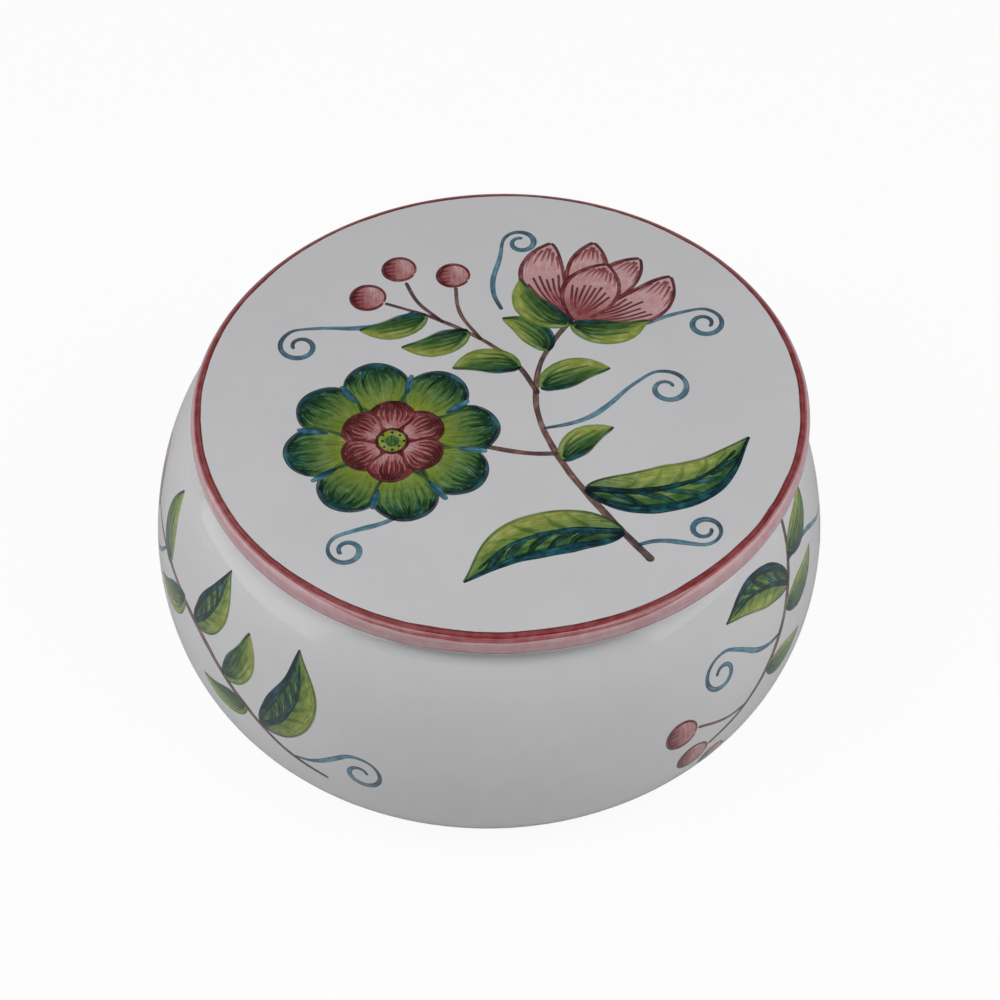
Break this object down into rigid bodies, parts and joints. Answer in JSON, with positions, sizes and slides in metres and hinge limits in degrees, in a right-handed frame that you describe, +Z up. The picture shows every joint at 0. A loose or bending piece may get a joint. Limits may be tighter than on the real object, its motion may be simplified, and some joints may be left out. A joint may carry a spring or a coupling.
{
  "type": "lidded trinket dish",
  "caption": "Squat round glazed earthenware box with an overhanging flat lid that lifts off, for small things.",
  "frame": {"origin": "middle of the foot ring, on the surface that the dish stands on", "axes": "+Z up, the way the lid lifts; +X towards the side that the lid rests nearer to; -Y towards the picture's viewer"},
  "size_m": [0.16, 0.16, 0.075],
  "materials": {
    "bowl_glaze": "glossy white tin glaze with hand-painted green, blue and rose ornament",
    "lid_glaze": "glossy white tin glaze with hand-painted ornament and a rose band round the edge"
  },
  "bodies": {
    "bowl": {"dish_bowl": "bowl_glaze"},
    "lid": {"dish_lid": "lid_glaze"}
  },
  "joints": [
    {"name": "lid_lift", "type": "slide", "parent": "bowl", "child": "lid", "axis": [0, 0, 1], "range_m": [0, 0.15]}
  ]
}
